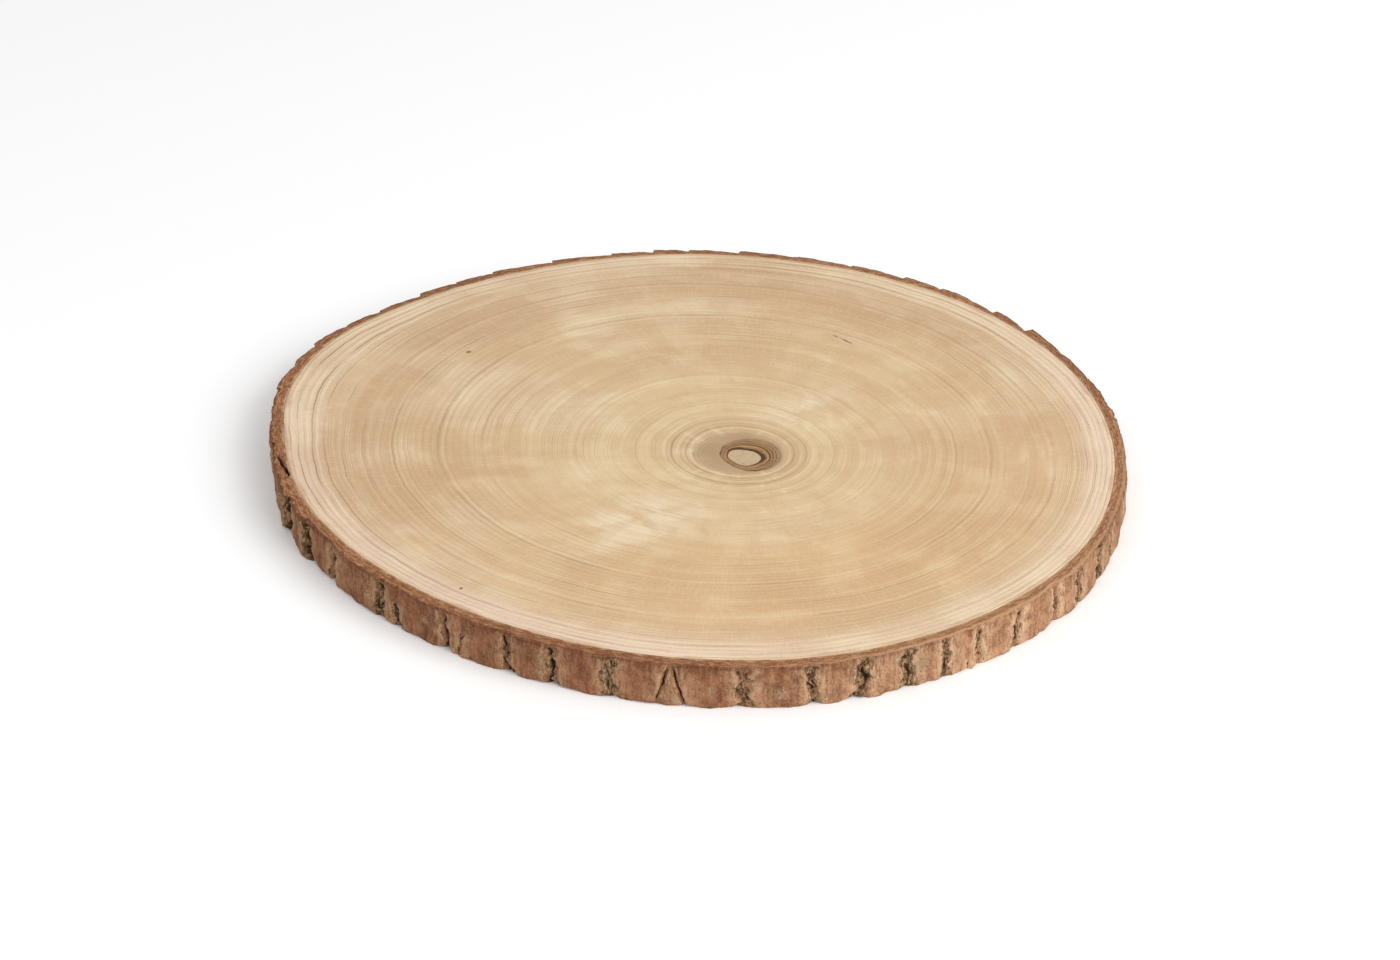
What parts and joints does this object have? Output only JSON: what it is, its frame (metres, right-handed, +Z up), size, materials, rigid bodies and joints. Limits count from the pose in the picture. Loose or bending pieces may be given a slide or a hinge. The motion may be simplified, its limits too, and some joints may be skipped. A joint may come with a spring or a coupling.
{
  "type": "wood slice",
  "caption": "Round slice sawn across a tree trunk, with growth rings, an off-centre pith and rough bark all round its edge.",
  "frame": {"origin": "middle of the slice's box on its flat underside", "axes": "+Z up, square to the two sawn faces; -Y towards the side with the thickest bark"},
  "size_m": [0.3936, 0.3938, 0.02],
  "materials": {
    "sawn_wood": "matt, freshly sawn and dry, not coated",
    "bark": "rough, dry and dull"
  },
  "bodies": {
    "root": {"wood": "sawn_wood", "bark": "bark"}
  },
  "joints": []
}
